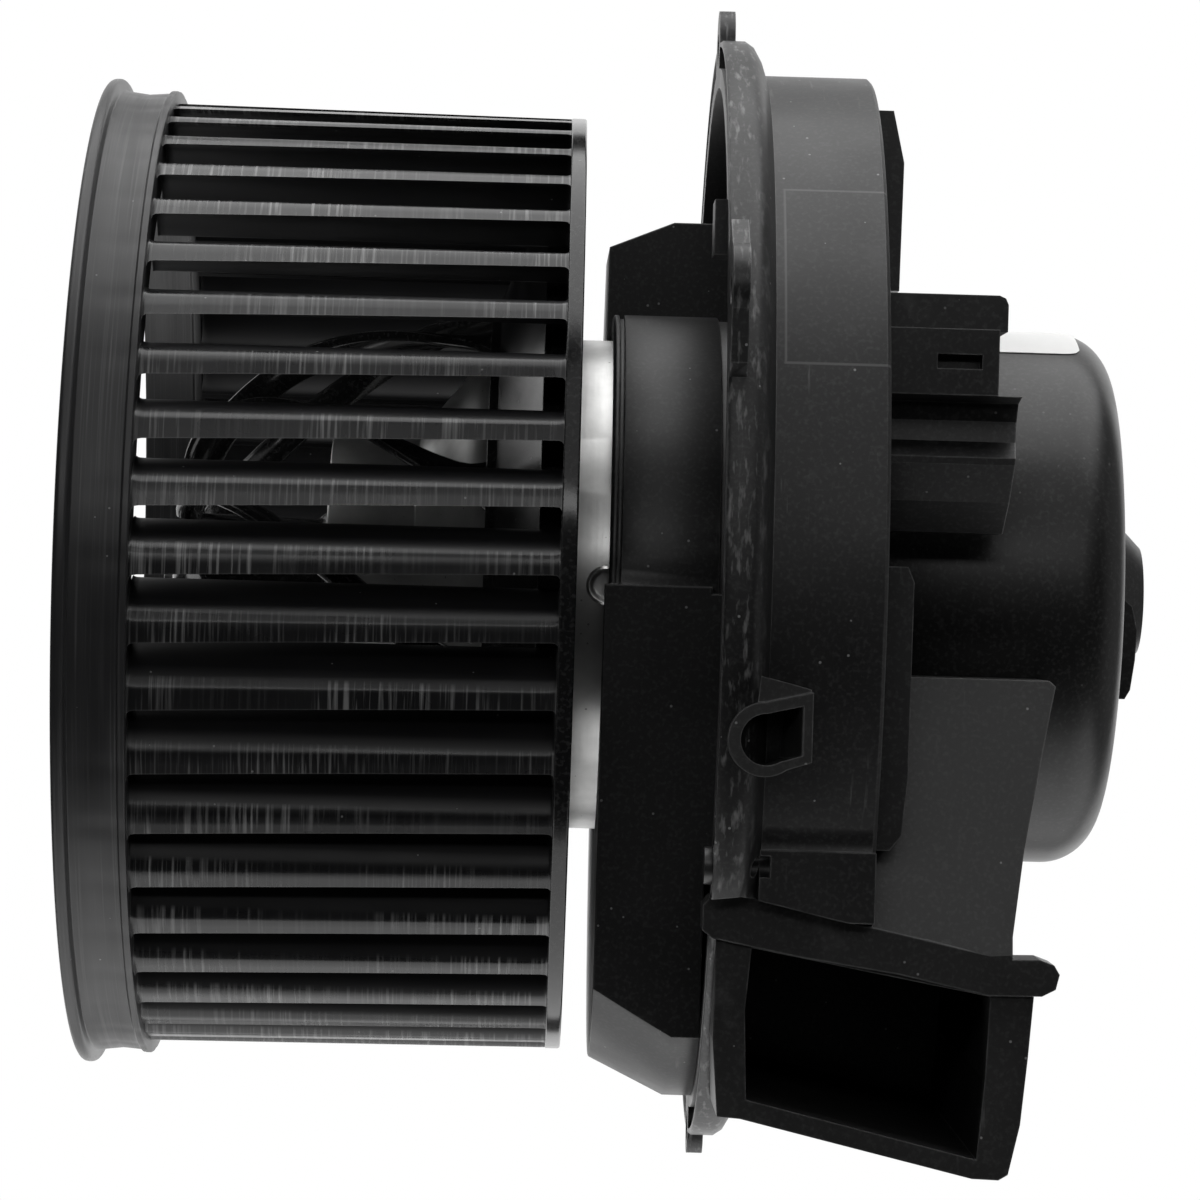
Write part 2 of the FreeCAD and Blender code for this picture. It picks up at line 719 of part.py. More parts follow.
def make_front_carrier():
    """Hollow lobe fused with the collar that holds the front of the can."""
    shell = cut("lobe_shell", lobe("lobe_outer", 0.0), lobe("lobe_inner", d.shell_wall))
    front = d.collar_front_x
    collar = turned("collar", [
        (front, d.sleeve_bore - 1.0),
        (front, d.sleeve_radius - 0.6),
        (front + 0.3, d.sleeve_radius),
        (front + 1.0, d.sleeve_radius),
        (front + 1.0, d.sleeve_radius - 0.6),
        (front + 1.7, d.sleeve_radius - 0.6),
        (front + 1.7, d.sleeve_radius),
        (1.0, d.sleeve_radius),
        (1.0, d.sleeve_bore - 1.0),
    ])
    well_walls = [
        box("step_wall", (-2.0, 20.0), (d.lobe_step_y, 14.0), (40.0, d.lobe_top_z)),
        box("top_wall", (-2.0, 20.0), (d.lobe_step_y, 49.8), (54.9, d.lobe_top_z)),
        box("side_wall", (-2.0, 20.0), (d.lobe_side_y, -40.0), (-43.0, -1.0)),
    ]
    bore = rod("collar_bore", d.sleeve_bore, d.lobe_front_x - 1.0, 24.0)
    sleeve_room = rod("sleeve_room", d.sleeve_radius - SLEEVE_STEP, 1.0, 24.0)
    solid = fused("carrier_solids", [shell, collar] + well_walls)
    keep(cut("carrier", solid, fused("carrier_cuts", [bore, sleeve_room])), "front_carrier")


def make_fasteners_and_rings():
    screws = []
    for number, degrees in enumerate(SCREW_ANGLES):
        head = rod(f"screw_head_{number}", 2.6, -1.2, 0.0, 0.0, d.screw_reach)
        shank = rod(f"screw_shank_{number}", d.screw_radius, -0.5, 4.8, 0.0, d.screw_reach)
        screws.append(turn_about_shaft(fused(f"screw_{number}", [head, shank]), degrees))
    keep(gathered("screws", screws), "carrier_screws")
    rings = [
        ring("front_isolator", -12.0, -6.0, d.can_radius, d.sleeve_bore),
        ring("rear_isolator", 8.0, 14.0, d.can_radius, d.sleeve_bore),
    ]
    keep(gathered("isolators", rings), "isolator_rings")


def clip_loop(name, centre_x, radius, corners, reach_y):
    """A half-round end and a slanted block, from `reach_y` in towards the drum."""
    round_end = doc.addObject("Part::Cylinder", name + "_round")
    round_end.Placement = Placement(Vector(centre_x, reach_y, -20.55), Rotation(Vector(1, 0, 0), -90))
    bind(round_end, "Radius", radius)
    bind(round_end, "Height", -72.0 - reach_y)
    return fused(name, [round_end, prism(name + "_block", "XZ_Plane", corners, 72.0, -72.0 - reach_y)])


def make_cable_clip():
    """D-shaped loop that stands off the drum, with a small gusset above it."""
    seat = turned("clip_seat", [(-1.0, 0.0), (-1.0, d.rim_radius)] + RIM_EDGE + [
        (d.drum_back_x, d.drum_radius), (d.drum_back_x, 0.0)])
    outer = clip_loop("loop_outer", 6.1, 5.05, [
        (6.1, -25.6), (12.5, -23.5), (12.5, -14.0), (6.1, -15.5),
    ], -84.0)
    inner = clip_loop("loop_inner", 6.3, 3.5, [
        (6.3, -24.05), (11.2, -22.6), (11.2, -15.9), (6.3, -17.05),
    ], -86.0)
    slope = prism("loop_slope", "XY_Plane", [
        (11.1, -83.6), (12.4, -83.6), (12.4, -73.0), (8.0, -73.0),
    ], -23.2, 7.4)
    gusset = prism("gusset", "XZ_Plane", [
        (3.3, -16.4), (12.4, -14.6), (12.4, -13.7), (10.1, -13.1), (3.3, -11.5),
    ], 75.0, 5.6)
    loop = fused("loop", [cut("loop_wall", outer, inner), slope, gusset])
    keep(cut("clip_cut", loop, seat), "cable_clip")


# ---------------------------------------------------------------- connector and leads


def make_connector():
    """Stepped connector block on the back wall, its socket open to the rear."""
    back = d.drum_back_x
    top_block = prism("top_block", "XZ_Plane", [
        (back, 37.0), (39.8, 37.0), (39.8, 40.8), (39.4, 41.7), (38.5, 42.1), (back, 42.1),
    ], 46.0, 13.0)
    lower_block = prism("lower_block", "YZ_Plane", [
        (-62.0, 27.8), (-57.5, 27.0), (-57.0, 24.4), (-58.0, 21.5), (-60.5, 19.2), (-60.5, 18.2),
        (-57.5, 13.0), (-52.0, 8.7), (-44.0, 8.7), (-44.0, 27.8),
    ], back, 41.8 - back)
    end_taper = prism("end_taper", "XZ_Plane", [
        (41.8, 27.8), (40.5, 8.0), (44.0, 8.0), (44.0, 27.8),
    ], 40.0, 25.0)
    blocks = fused("connector_blocks", [
        box("window_block", (back, 38.4), (-62.0, -46.0), (27.8, 37.1)),
        top_block,
        cut("lower_part", lower_block, end_taper),
    ])
    terminals = [
        box("low_terminal", (strip_span()[1], 36.0), (-54.0, -53.2), (22.0, 26.5)),
        box("high_terminal", (strip_span()[1], 36.0), (-54.0, -53.2), (30.0, 34.5)),
    ]
    socket = box("socket", (25.8, 50.0), (-55.4, -47.4), (20.4, 36.6))
    window = box("latch_window", (29.8, 36.0), (-65.0, -59.0), (31.5, 33.5))
    slots = [
        box("low_slot", (21.8, 27.0), (-54.0, -53.2), (22.0, 26.5)),
        box("high_slot", (21.8, 27.0), (-54.0, -53.2), (30.0, 34.5)),
    ]
    keep(cut("connector", blocks, fused("connector_cuts", [socket, window] + slots)), "connector_housing")
    keep(gathered("terminals", terminals), "connector_terminals")


def strip_span():
    """Where the power strips lie along X, on the inner side of the housing's back wall."""
    return d.drum_back_x - 5.8, d.drum_back_x - 5.0


def make_leads():
    """The two strips from the connector into the can, and the grommet round them."""
    strips = [
        box("low_strip", strip_span(), (-62.5, -36.2), (-5.0, -1.8)),
        box("high_strip", strip_span(), (-64.5, -36.2), (1.8, 5.0)),
    ]
    keep(turn_about_shaft(gathered("strips", strips), DRIVING["lead_angle"]), "power_leads")
    plug = box("plug", lead_span(), (-42.5, -36.0), (-6.0, 6.0))
    grommet = cut("grommet", plug, fused("strip_slots", [
        box("low_strip_slot", strip_span(), (-44.0, -34.0), (-5.0, -1.8)),
        box("high_strip_slot", strip_span(), (-44.0, -34.0), (1.8, 5.0)),
    ]))
    keep(turn_about_shaft(grommet, DRIVING["lead_angle"]), "lead_grommet")


# ---------------------------------------------------------------- cap


def make_cap():
    wall = d.shell_wall
    body = turned("cap_shell", [
        (d.drum_back_x, d.cap_radius),
        (d.cap_back_x, d.cap_radius),
        (d.cap_back_x, 14.4),
        (d.cap_back_x + 6.1, 8.1),
        (d.cap_back_x + 6.1, 0.0),
        (d.cap_back_x + 4.1, 0.0),
        (d.cap_back_x + 4.1, 7.3),
        (d.cap_back_x - wall, 13.6),
        (d.cap_back_x - wall, d.cap_radius - wall),
        (d.drum_back_x, d.cap_radius - wall),
    ])
    doc.recompute()
    round_edge(body, d.cap_back_x, d.cap_radius, d.cap_round)
    round_edge(body, d.cap_back_x - wall, d.cap_radius - wall, d.cap_round - wall)
    tab = prism("cap_tab", "XZ_Plane", [
        (60.2, 0.2), (62.6, 0.2), (64.0, -1.0), (64.8, -4.5), (64.6, -9.0), (64.0, -13.5),
        (63.2, -14.9), (60.2, -14.9),
    ], 11.0, 5.0)
    cap = fused("cap", [body, tab])
    keep(cap, "motor_cap")
    film = d.cap_radius + 0.2
    blank = turned("label_blank", [
        (36.0, d.cap_radius - 0.6), (36.0, film), (d.cap_back_x - d.cap_round, film),
        (53.8, film - 0.09), (55.0, film - 0.37), (55.0, d.cap_radius - 0.6),
    ], 66.0)
    placed = turn_about_shaft(gathered("label_placed", [blank]), -7.0)
    keep(cut("label", placed, cap), "rating_label")


def round_edge(body, x, radius, fillet_radius):
    """Round the circular edge of a turned body that lies at this x and radius."""
    base = body.Tip
    for number, edge in enumerate(base.Shape.Edges, start=1):
        curve = edge.Curve
        if not isinstance(curve, Part.Circle):
            continue
        if abs(curve.Radius - radius.value) < 0.01 and abs(curve.Center.x - x.value) < 0.01:
            fillet = body.newObject("PartDesign::Fillet", f"{body.Name}_round")
            fillet.Base = (base, [f"Edge{number}"])
            bind(fillet, "Radius", fillet_radius)
            body.Tip = fillet
            doc.recompute()
            return
    raise ValueError(f"no edge to round on {body.Name}")


# ---------------------------------------------------------------- build, check, write

def build():
    make_rim()
    make_blades()
    make_hub()
    make_shaft_pieces()
    make_armature()
    make_can()
    make_bearings()
    make_magnets()
    make_brush_gear()
    make_duct()
    make_flange_housing()
    make_front_carrier()
    make_fasteners_and_rings()
    make_cable_clip()
    make_connector()
    make_leads()
    make_cap()


def check_and_write():
    doc.recompute()
    for obj in doc.Objects:
        if "Invalid" in obj.State or "Error" in obj.State:
            raise RuntimeError(f"{obj.Name} ({obj.Label}) failed: {obj.State}")
    for obj in nodes:
        shape = obj.Shape
        if shape.isNull() or not shape.isValid() or shape.Volume <= 0:
            raise RuntimeError(f"{obj.Label} has a bad shape")
    for obj in nodes:
        obj.Shape.exportStep(f"parts/{obj.Label}.step")
        bounds = obj.Shape.BoundBox
        print(f"{obj.Label}: {len(obj.Shape.Solids)} solids, {obj.Shape.Volume:.0f} mm3, "
              f"x {bounds.XMin:.1f}..{bounds.XMax:.1f}, y {bounds.YMin:.1f}..{bounds.YMax:.1f}, "
              f"z {bounds.ZMin:.1f}..{bounds.ZMax:.1f}")


build()
check_and_write()
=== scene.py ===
"""Looks of a vehicle heater blower: squirrel-cage wheel, motor, flange housing, duct and connector."""

import math
import random

import bmesh
import bpy
from mathutils import Matrix, Vector


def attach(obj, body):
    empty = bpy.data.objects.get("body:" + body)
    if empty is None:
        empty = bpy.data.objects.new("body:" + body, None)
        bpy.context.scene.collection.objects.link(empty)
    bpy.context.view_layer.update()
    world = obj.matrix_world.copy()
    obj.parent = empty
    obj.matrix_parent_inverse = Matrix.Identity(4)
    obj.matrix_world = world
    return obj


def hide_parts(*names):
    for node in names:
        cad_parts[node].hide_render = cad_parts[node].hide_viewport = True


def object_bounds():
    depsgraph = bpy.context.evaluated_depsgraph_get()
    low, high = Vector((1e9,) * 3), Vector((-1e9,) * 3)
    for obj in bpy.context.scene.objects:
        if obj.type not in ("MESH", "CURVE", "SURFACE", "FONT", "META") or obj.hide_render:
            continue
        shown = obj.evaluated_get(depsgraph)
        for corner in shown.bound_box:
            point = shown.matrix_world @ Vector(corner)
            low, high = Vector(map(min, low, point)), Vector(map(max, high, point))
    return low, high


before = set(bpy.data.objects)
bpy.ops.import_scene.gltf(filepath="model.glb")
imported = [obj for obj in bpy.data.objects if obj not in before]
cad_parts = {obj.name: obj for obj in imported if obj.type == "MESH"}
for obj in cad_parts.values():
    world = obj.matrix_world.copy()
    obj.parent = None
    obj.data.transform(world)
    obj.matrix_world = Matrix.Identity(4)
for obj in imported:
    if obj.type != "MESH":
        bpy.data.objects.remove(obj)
cad_low, cad_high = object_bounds()

MM = 0.001
TURN = 2 * math.pi


def grey(level):
    return (level, level, level, 1.0)


DUST = grey(0.45)

# ---------------------------------------------------------------- camera, stage and lights


def make_camera():
    """Level camera on the near side, rolled a little, as the object lies slightly tilted in the view."""
    distance, aside, below = 0.7, 0.025, 0.00234
    frame_width, sensor, roll_degrees = 0.1842, 0.036, 1.69
    data = bpy.data.cameras.new("camera")
    data.sensor_width = sensor * 1000
    data.lens = sensor * 1000 * distance / frame_width
    data.clip_end = 20.0
    data.shift_x, data.shift_y = 0.0507, -0.0015
    camera = bpy.data.objects.new("camera", data)
    bpy.context.collection.objects.link(camera)
    place = Matrix.Translation((-aside, -distance, -below))
    aim = Matrix.Rotation(math.radians(90), 4, "X")
    roll = Matrix.Rotation(math.radians(roll_degrees), 4, "Z")
    camera.matrix_world = place @ aim @ roll
    bpy.context.scene.camera = camera


def stage_mesh(name, make):
    """A plain white surface that the camera sees and that lights nothing."""
    mesh = bpy.data.meshes.new(name)
    shape = bmesh.new()
    make(shape)
    shape.to_mesh(mesh)
    shape.free()
    obj = bpy.data.objects.new(name, mesh)
    bpy.context.collection.objects.link(obj)
    material = bpy.data.materials.new(name)
    material.use_nodes = True
    tree = material.node_tree
    tree.nodes.clear()
    glow = tree.nodes.new("ShaderNodeEmission")
    glow.inputs["Color"].default_value = grey(1.0)
    glow.inputs["Strength"].default_value = 1.0
    out = tree.nodes.new("ShaderNodeOutputMaterial")
    tree.links.new(glow.outputs[0], out.inputs["Surface"])
    mesh.materials.append(material)
    for ray in ("visible_diffuse", "visible_glossy", "visible_transmission", "visible_shadow"):
        setattr(obj, ray, False)


def make_stage():
    """A floor disc a little below the object, inside a large backdrop sphere."""
    floor_gap, floor_radius, backdrop_radius = 0.03, 6.0, 8.0
    floor_place = Matrix.Translation((0, 0, cad_low.z - floor_gap))

    def floor(shape):
        bmesh.ops.create_circle(shape, cap_ends=True, radius=floor_radius, segments=64, matrix=floor_place)

    def backdrop(shape):
        bmesh.ops.create_uvsphere(shape, u_segments=48, v_segments=24, radius=backdrop_radius)

    stage_mesh("floor", floor)
    stage_mesh("backdrop", backdrop)


def softbox(name, place, size, radiance):
    """A rectangular light aimed at the origin; its brightness is given per unit of its own area."""
    data = bpy.data.lights.new(name, "AREA")
    data.shape = "RECTANGLE"
    data.size, data.size_y = size
    data.energy = radiance * math.pi * size[0] * size[1]
    lamp = bpy.data.objects.new(name, data)
    bpy.context.collection.objects.link(lamp)
    lamp.location = place
    lamp.rotation_mode = "QUATERNION"
    aim = Vector((0, 0, 0)) - Vector(place)
    lamp.rotation_quaternion = aim.to_track_quat("-Z", "Y")
    lamp.visible_camera = False


def make_lights():
    """Soft boxes above, below and behind, a strip for the blade highlights and a weak box by the cap."""
    world = bpy.data.worlds.new("world")
    bpy.context.scene.world = world
    world.use_nodes = True
    world.node_tree.nodes["Background"].inputs["Color"].default_value = grey(0.012)
    bpy.context.scene.view_settings.view_transform = "Standard"
    softbox("top_box", (0.0, 0.05, 0.7), (1.4, 0.9), 2.3)
    softbox("front_top_box", (0.1, -0.80, 0.62), (1.5, 0.55), 0.45)
    softbox("strip_box", (-0.05, -1.0, 0.34), (1.3, 0.09), 3.2)
    softbox("bottom_box", (0.0, 0.05, -0.6), (1.5, 0.8), 1.4)
    softbox("back_box", (0.0, 1.0, 0.0), (2.0, 1.6), 1.2)
    softbox("right_box", (1.1, 0.1, 0.0), (0.9, 1.2), 0.3)


# ---------------------------------------------------------------- materials


class Shader:
    """A material under construction, with short calls for the nodes it needs."""

    def __init__(self, name):
        self.material = bpy.data.materials.new(name)
        self.material.use_nodes = True
        self.tree = self.material.node_tree
        self.tree.nodes.clear()
        out = self.add("OutputMaterial")
        self.skin = self.add("BsdfPrincipled")
        self.link(self.skin.outputs[0], out.inputs["Surface"])
        self.place = self.add("TexCoord").outputs["Object"]

    def add(self, kind, inputs=None, **settings):
        item = self.tree.nodes.new("ShaderNode" + kind)
        for name, value in settings.items():
            setattr(item, name, value)
        for name, value in (inputs or {}).items():
            self.feed(item.inputs[name], value)
        return item

    def link(self, source, target):
        self.tree.links.new(source, target)

    def feed(self, socket, value):
        if isinstance(value, bpy.types.NodeSocket):
            self.link(value, socket)
        else:
            socket.default_value = value

    def set(self, name, value):
        self.feed(self.skin.inputs[name], value)

    def math(self, operation, first, second=0.0):
        item = self.add("Math", operation=operation)
        for socket, value in zip(item.inputs, (first, second)):
            self.feed(socket, value)
        return item.outputs[0]

    def noise(self, scale, detail, source=None, stretch=None):
        """Cloudy values about 0.5; stretch multiplies the place by a factor along each axis."""
        vector = source or self.place
        if stretch:
            vector = self.add("VectorMath", {0: vector, 1: stretch}, operation="MULTIPLY").outputs[0]
        item = self.add("TexNoise", {"Vector": vector, "Scale": scale, "Detail": detail})
        return item.outputs["Fac"]

    def ramp(self, value, low, high, start=0.0, end=1.0):
        """Values from low to high become start to end, held beyond."""
        item = self.add("MapRange", {"Value": value, "From Min": low, "From Max": high,
                                     "To Min": start, "To Max": end})
        return item.outputs["Result"]

    def mix(self, factor, first, second):
        item = self.add("Mix", data_type="RGBA")
        self.feed(item.inputs["Factor"], factor)
        self.feed(item.inputs[6], first)
        self.feed(item.inputs[7], second)
        return item.outputs[2]

    def specks(self, scale, size, share):
        """Small round dots scattered over the surface: 1 inside a dot."""
        cells = self.add("TexVoronoi", {"Vector": self.place, "Scale": scale})
        near = self.math("LESS_THAN", cells.outputs["Distance"], size)
        chosen = self.add("SeparateColor", {"Color": cells.outputs["Color"]}).outputs[0]
        return self.math("MULTIPLY", near, self.math("LESS_THAN", chosen, share))

    def bump(self, height, distance, strength):
        item = self.add("Bump", {"Height": height, "Distance": distance, "Strength": strength})
        return item.outputs["Normal"]

    def edges(self, radius):
        """1 along sharp edges, 0 on open surfaces."""
        rounded = self.add("Bevel", {"Radius": radius}, samples=4).outputs[0]
        flat = self.add("NewGeometry").outputs["Normal"]
        alike = self.add("VectorMath", {0: rounded, 1: flat}, operation="DOT_PRODUCT").outputs["Value"]
        return self.ramp(alike, 0.98, 0.8)

    def polar(self):
        """Position as (x, angle about the shaft from +Z towards +Y, radius)."""
        split = self.add("SeparateXYZ", {0: self.place})
        angle = self.math("ARCTAN2", split.outputs[1], split.outputs[2])
        square = self.math("ADD", self.math("POWER", split.outputs[1], 2.0),
                           self.math("POWER", split.outputs[2], 2.0))
        return split.outputs[0], angle, self.math("SQRT", square)

    def vector(self, x, y, z):
        item = self.add("CombineXYZ")
        for socket, value in zip(item.inputs, (x, y, z)):
            self.feed(socket, value)
        return item.outputs[0]


def moulded_plastic(name, dark, light, roughness, dust=0.25, scuffs=0.5, grain=0.5, rim_wear=0.0):
    """Black moulded plastic: fine grain, cloudy sheen, dust, hairline scratches and a painted highlight on
    the edges.

    With rim_wear it also has chips on the flange rim and the seams of the drum.
    """
    s = Shader(name)
    cloud = s.noise(45.0, 4.0)
    fine = s.noise(1600.0, 2.0)
    smear = s.noise(1.0, 5.0, stretch=(900.0, 70.0, 90.0))
    scratch = s.math("MULTIPLY", s.ramp(smear, 0.66, 0.74), s.ramp(cloud, 0.5, 0.62))
    rub = s.math("MULTIPLY", s.ramp(s.noise(160.0, 6.0), 0.60, 0.78), s.ramp(s.noise(22.0, 2.0), 0.5, 0.66))
    # Pale edges: painted highlight along the sharp edges, made patchy by noise.
    edge_highlight = s.math("MULTIPLY", s.edges(0.35 * MM), s.ramp(s.noise(260.0, 4.0), 0.3, 0.7, 0.15, 1.0))
    dots = s.specks(520.0, 0.10, 0.16)
    base = s.mix(cloud, dark, light)
    base = s.mix(s.math("MULTIPLY", s.math("MAXIMUM", scratch, rub), scuffs * 0.35), base, grey(0.22))
    base = s.mix(s.math("MULTIPLY", s.ramp(fine, 0.5, 0.72), 0.22), base, grey(0.10))
    base = s.mix(s.math("MULTIPLY", edge_highlight, 0.80), base, grey(0.30))
    if rim_wear:
        x, angle, radius = s.polar()
        on_rim = s.math("MULTIPLY", s.ramp(radius, 79.0 * MM, 80.5 * MM), s.ramp(x, 6.5 * MM, 3.5 * MM))
        chips = s.ramp(s.noise(1.0, 7.0, stretch=(1300.0, 330.0, 330.0)), 0.55, 0.72)
        base = s.mix(s.math("MULTIPLY", s.math("MULTIPLY", on_rim, chips), rim_wear), base, grey(0.34))
        seam = drum_seams(s, x, angle, radius)
        base = s.mix(s.math("MULTIPLY", seam, 0.8), base, grey(0.10))
    base = s.mix(s.math("MULTIPLY", dots, dust), base, DUST)
    s.set("Base Color", base)
    rough = s.ramp(cloud, 0.3, 0.7, roughness - 0.06, roughness + 0.08)
    s.set("Roughness", s.math("ADD", rough, s.math("MULTIPLY", rub, 0.2)))
    s.set("Specular IOR Level", 0.5)
    height = s.math("ADD", s.math("MULTIPLY", fine, grain), s.math("MULTIPLY", scratch, 0.4))
    s.set("Normal", s.bump(height, 0.02 * MM, 0.6))
    return s.material


def drum_seams(s, x, angle, radius):
    """1 on the seams of the drum's near side: two run along the shaft, one joins them round it."""
    upper, lower, across = -0.764, -1.162, 8.0 * MM
    outer, inner = 0.24 * MM, 0.12 * MM
    outer_angle, inner_angle = 0.0032, 0.0016
    on_drum = s.math("MULTIPLY", s.ramp(radius, 77.6 * MM, 78.0 * MM), s.ramp(x, across - 0.3 * MM, across))
    lines = 0.0
    for place in (upper, lower):
        gap = s.math("ABSOLUTE", s.math("SUBTRACT", angle, place))
        lines = s.math("MAXIMUM", lines, s.ramp(gap, outer_angle, inner_angle))
    beyond = s.math("ABSOLUTE", s.math("SUBTRACT", angle, (upper + lower) / 2))
    between = s.math("LESS_THAN", beyond, (upper - lower) / 2)
    gap = s.math("ABSOLUTE", s.math("SUBTRACT", x, across))
    cross = s.math("MULTIPLY", s.ramp(gap, outer, inner), between)
    return s.math("MULTIPLY", on_drum, s.math("MAXIMUM", lines, cross))


def wheel_plastic(name, dark, light):
    """Blade moulding: glossy tips crossed by fine pale lines of painted highlight, a painted highlight on the
    edges, and dull roots.
    """
    s = Shader(name)
    x, angle, radius = s.polar()
    wrapped = s.vector(x, s.math("MULTIPLY", angle, 0.004), 0.0)
    across = s.noise(1.0, 6.0, source=wrapped, stretch=(1900.0, 900.0, 1.0))
    patchy = s.noise(1.0, 3.0, source=wrapped, stretch=(45.0, 900.0, 1.0))
    tip = s.ramp(radius, 70.2 * MM, 70.7 * MM)
    share = s.ramp(patchy, 0.42, 0.62, 0.08, 1.0)
    # Pale streaks on the blade tips: painted highlight; the same mask also raises them in the bump.
    tip_streak_highlight = s.math("MULTIPLY", tip, s.math("MULTIPLY", s.ramp(across, 0.5, 0.66), share))
    cloud = s.noise(60.0, 4.0)
    dots = s.specks(560.0, 0.09, 0.10)
    base = s.mix(cloud, dark, light)
    base = s.mix(s.math("MULTIPLY", tip_streak_highlight, 0.75), base, grey(0.26))
    # Paler blade edges: painted highlight along the sharp edges.
    edge_highlight = s.math("MULTIPLY", s.edges(0.25 * MM), 0.35)
    base = s.mix(edge_highlight, base, grey(0.16))
    base = s.mix(s.math("MULTIPLY", dots, 0.35), base, DUST)
    s.set("Base Color", base)
    rough = s.ramp(cloud, 0.3, 0.7, 0.36, 0.46)
    s.set("Roughness", s.math("SUBTRACT", rough, s.math("MULTIPLY", tip, 0.13)))
    s.set("Specular IOR Level", s.ramp(radius, 69.0 * MM, 70.6 * MM, 0.12, 0.5))
    height = s.math("ADD", s.math("MULTIPLY", s.noise(1500.0, 2.0), 0.3), tip_streak_highlight)
    s.set("Normal", s.bump(height, 0.03 * MM, 0.6))
    return s.material


def band_plastic(name, dark, light):
    """Rim band: turned look, with fine streaks that run round it, and a painted highlight on its edges."""
    s = Shader(name)
    x, angle, radius = s.polar()
    ring = s.vector(x, s.math("MULTIPLY", angle, 0.073), radius)
    streak = s.noise(1.0, 6.0, source=ring, stretch=(3200.0, 26.0, 900.0))
    wide = s.noise(1.0, 3.0, source=ring, stretch=(420.0, 40.0, 60.0))
    cloud = s.noise(70.0, 4.0)
    base = s.mix(cloud, dark, light)
    pale = s.math("MULTIPLY", s.ramp(streak, 0.52, 0.72), s.ramp(wide, 0.4, 0.7, 0.1, 0.5))
    base = s.mix(pale, base, grey(0.15))
    # Paler edges: painted highlight along the sharp edges.
    base = s.mix(s.math("MULTIPLY", s.edges(0.3 * MM), 0.2), base, grey(0.18))
    base = s.mix(s.math("MULTIPLY", s.specks(520.0, 0.09, 0.10), 0.35), base, DUST)
    s.set("Base Color", base)
    s.set("Roughness", s.ramp(wide, 0.3, 0.7, 0.34, 0.46))
    s.set("Normal", s.bump(s.math("ADD", streak, s.math("MULTIPLY", wide, 0.6)), 0.03 * MM, 0.5))
    return s.material


def plated_steel(name, colour, roughness):
    """Zinc-plated sheet: soft spangle, faint drawing lines, pin-point dark specks."""
    s = Shader(name)
    cloud = s.noise(240.0, 5.0)
    wide = s.noise(50.0, 3.0)
    dark = tuple(c * 0.8 for c in colour[:3]) + (1.0,)
    base = s.mix(s.ramp(cloud, 0.3, 0.7), dark, colour)
    base = s.mix(s.math("MULTIPLY", s.specks(900.0, 0.16, 0.10), 0.6), base, grey(0.12))
    s.set("Base Color", base)
    s.set("Metallic", 1.0)
    s.set("Roughness", s.ramp(wide, 0.3, 0.7, roughness - 0.05, roughness + 0.07))
    height = s.math("ADD", s.noise(1400.0, 3.0), s.noise(1.0, 3.0, stretch=(1500.0, 60.0, 60.0)))
    s.set("Normal", s.bump(height, 0.02 * MM, 0.45))
    return s.material


def worked_metal(name, colour, roughness, lines=(60.0, 1500.0, 1500.0)):
    """Metal with machining lines."""
    s = Shader(name)
    mark = s.noise(1.0, 4.0, stretch=lines)
    dark = tuple(c * 0.7 for c in colour[:3]) + (1.0,)
    s.set("Base Color", s.mix(s.ramp(mark, 0.35, 0.65), dark, colour))
    s.set("Metallic", 1.0)
    s.set("Roughness", s.ramp(mark, 0.3, 0.7, roughness - 0.06, roughness + 0.08))
    s.set("Normal", s.bump(mark, 0.02 * MM, 0.5))
    return s.material


def dull(name, colour, roughness, grain_scale=900.0):
    """Plain materials of the hidden parts, such as rubber, carbon and ferrite, with a fine grain."""
    s = Shader(name)
    grain = s.noise(grain_scale, 4.0)
    dark = tuple(c * 0.65 for c in colour[:3]) + (1.0,)
    s.set("Base Color", s.mix(s.ramp(grain, 0.35, 0.65), dark, colour))
    s.set("Roughness", s.ramp(grain, 0.3, 0.7, roughness - 0.05, roughness + 0.05))
    s.set("Normal", s.bump(grain, 0.03 * MM, 0.5))
    return s.material


def label_film(name):
    """Blank white label film: faintly cloudy, with a fine grain."""
    s = Shader(name)
    cloud = s.noise(120.0, 3.0)
    s.set("Base Color", s.mix(cloud, (0.80, 0.80, 0.79, 1.0), (0.88, 0.88, 0.87, 1.0)))
    s.set("Roughness", s.ramp(s.noise(700.0, 3.0), 0.3, 0.7, 0.35, 0.5))
    s.set("Normal", s.bump(s.noise(1200.0, 2.0), 0.01 * MM, 0.4))
    return s.material


# ---------------------------------------------------------------- shape tools


def piece(name, shape, body, material, stands_for=(), smooth_angle=35.0):
    """Turn a finished bmesh into a named piece that rides on a body."""
    bmesh.ops.recalc_face_normals(shape, faces=shape.faces)
    mesh = bpy.data.meshes.new(name)
    shape.to_mesh(mesh)
    shape.free()
    obj = bpy.data.objects.new(name, mesh)
    bpy.context.collection.objects.link(obj)
    mesh.materials.append(material)
    mesh.shade_smooth()
    mesh.set_sharp_from_angle(angle=math.radians(smooth_angle))
    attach(obj, body)
    if stands_for:
        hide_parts(*stands_for)


def add_bevel(obj, width):
    """Round off the sharp edges of a node."""
    least_turn = math.radians(38.0)
    bevel = obj.modifiers.new("edges", "BEVEL")
    bevel.width = width
    bevel.segments = 2
    bevel.limit_method = "ANGLE"
    bevel.angle_limit = least_turn
    bevel.use_clamp_overlap = True
    bevel.harden_normals = False


def around(x, radius, angle):
    """The point x along the shaft and radius out from it, turned from +Z towards -Y; given in millimetres."""
    return Vector((x, -radius * math.sin(angle), radius * math.cos(angle))) * MM


